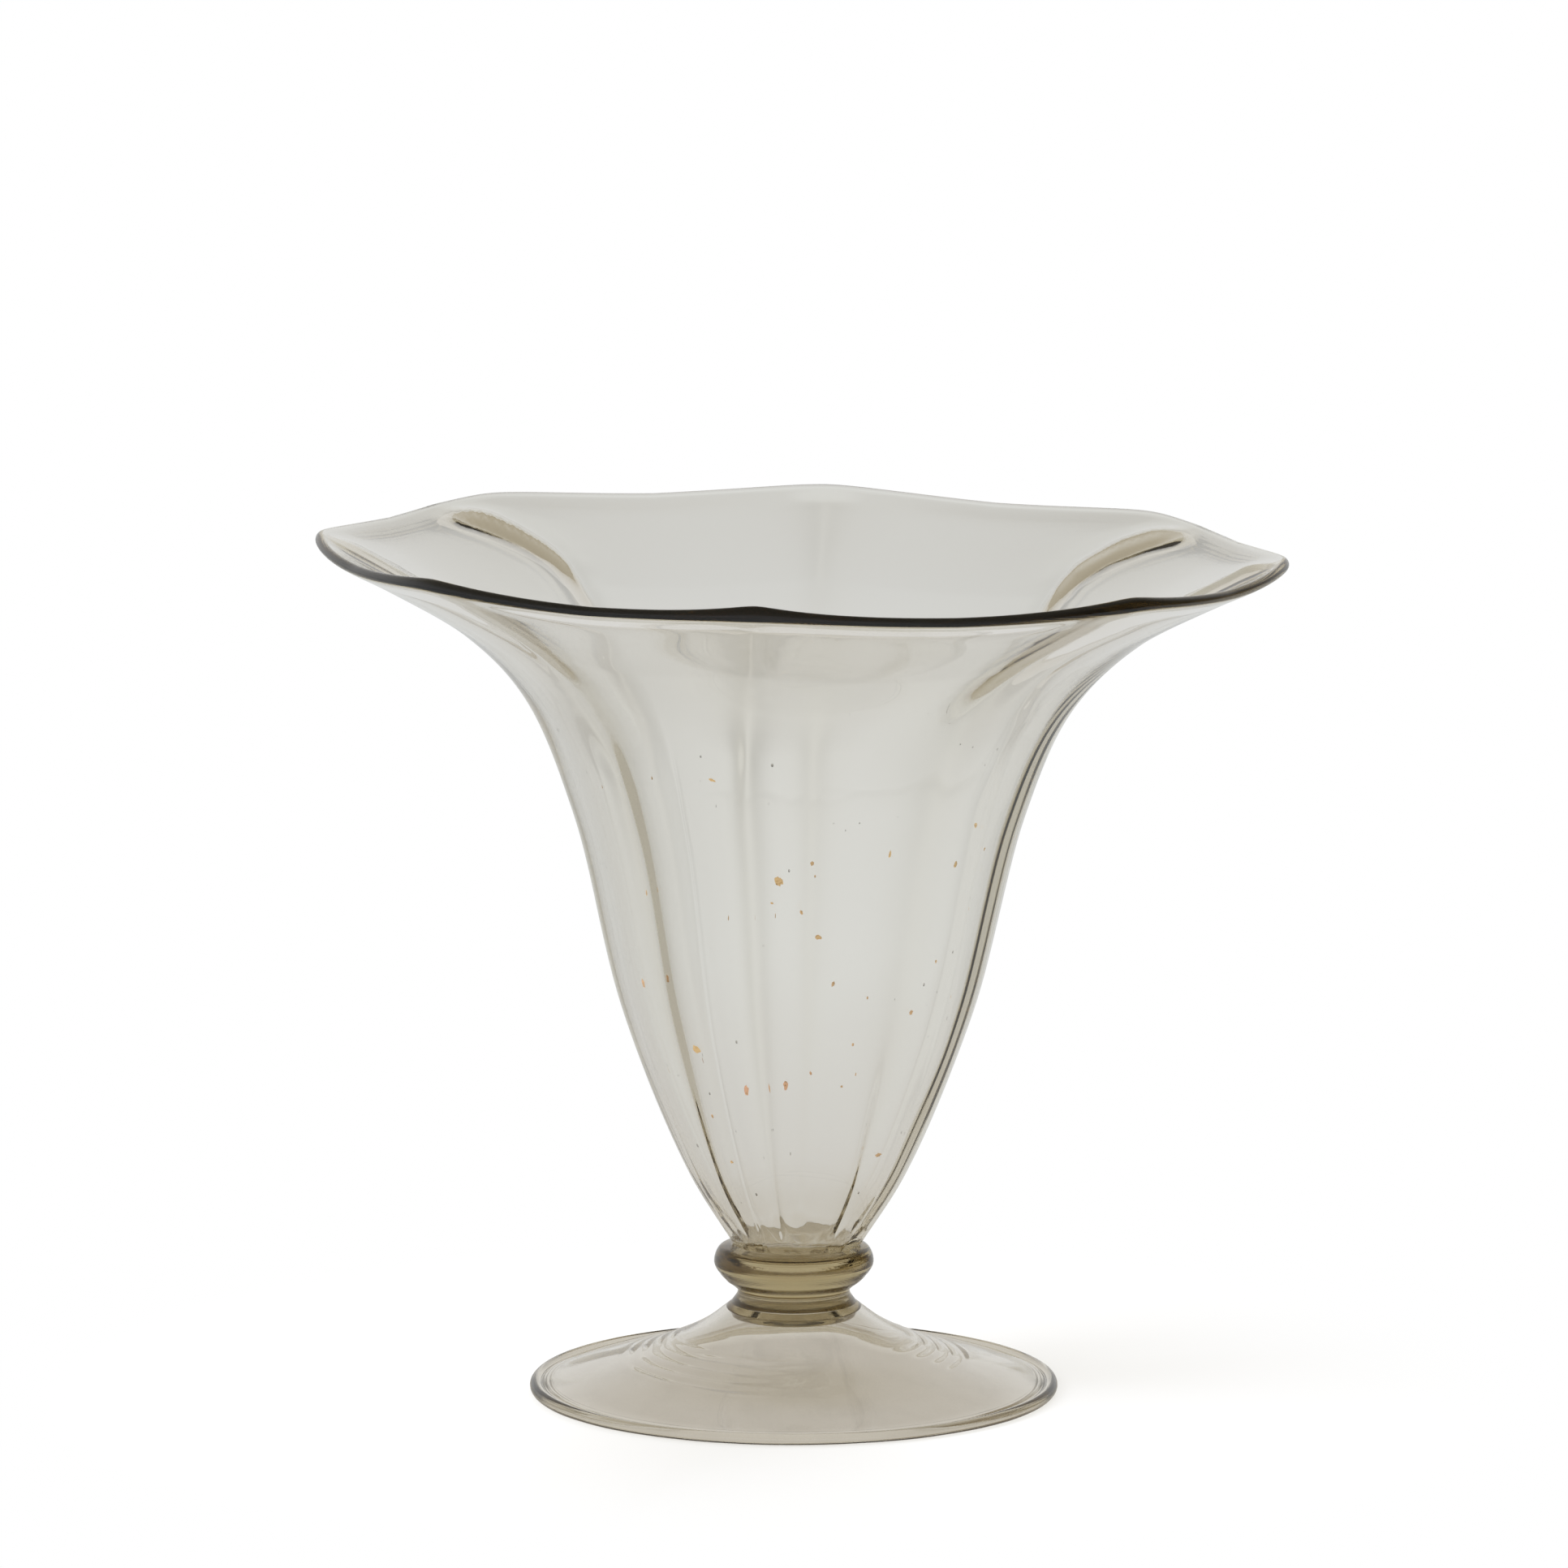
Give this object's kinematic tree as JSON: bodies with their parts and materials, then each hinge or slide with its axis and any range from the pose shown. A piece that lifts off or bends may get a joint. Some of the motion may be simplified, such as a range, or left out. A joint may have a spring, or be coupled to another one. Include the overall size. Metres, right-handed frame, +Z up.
{
  "type": "trumpet vase",
  "caption": "Footed trumpet vase of pale smoky glass: ribbed eight-sided flaring bowl with a beaded lip, on a solid collar, waisted spool and hollow spreading foot with a folded edge.",
  "frame": {"origin": "on the table, under the middle of the foot", "axes": "+Z up along the foot's axis, -Y towards the picture's viewer, +X to the side where the lip dips"},
  "size_m": [0.2995, 0.2996, 0.2681],
  "materials": {
    "pale_glass": "clear blown glass with a faint smoky olive tint, fire-polished, slightly wavy",
    "thick_glass": "the same glass in thick solid bits, where the olive tint is deeper",
    "lip_glass": "the same glass in a rounded bead that reads dark against a pale ground"
  },
  "bodies": {
    "root": {"foot_hem": "pale_glass", "foot": "pale_glass", "stem_spool": "thick_glass", "collar": "thick_glass", "bowl": "pale_glass", "lip_bead": "lip_glass"}
  },
  "joints": []
}
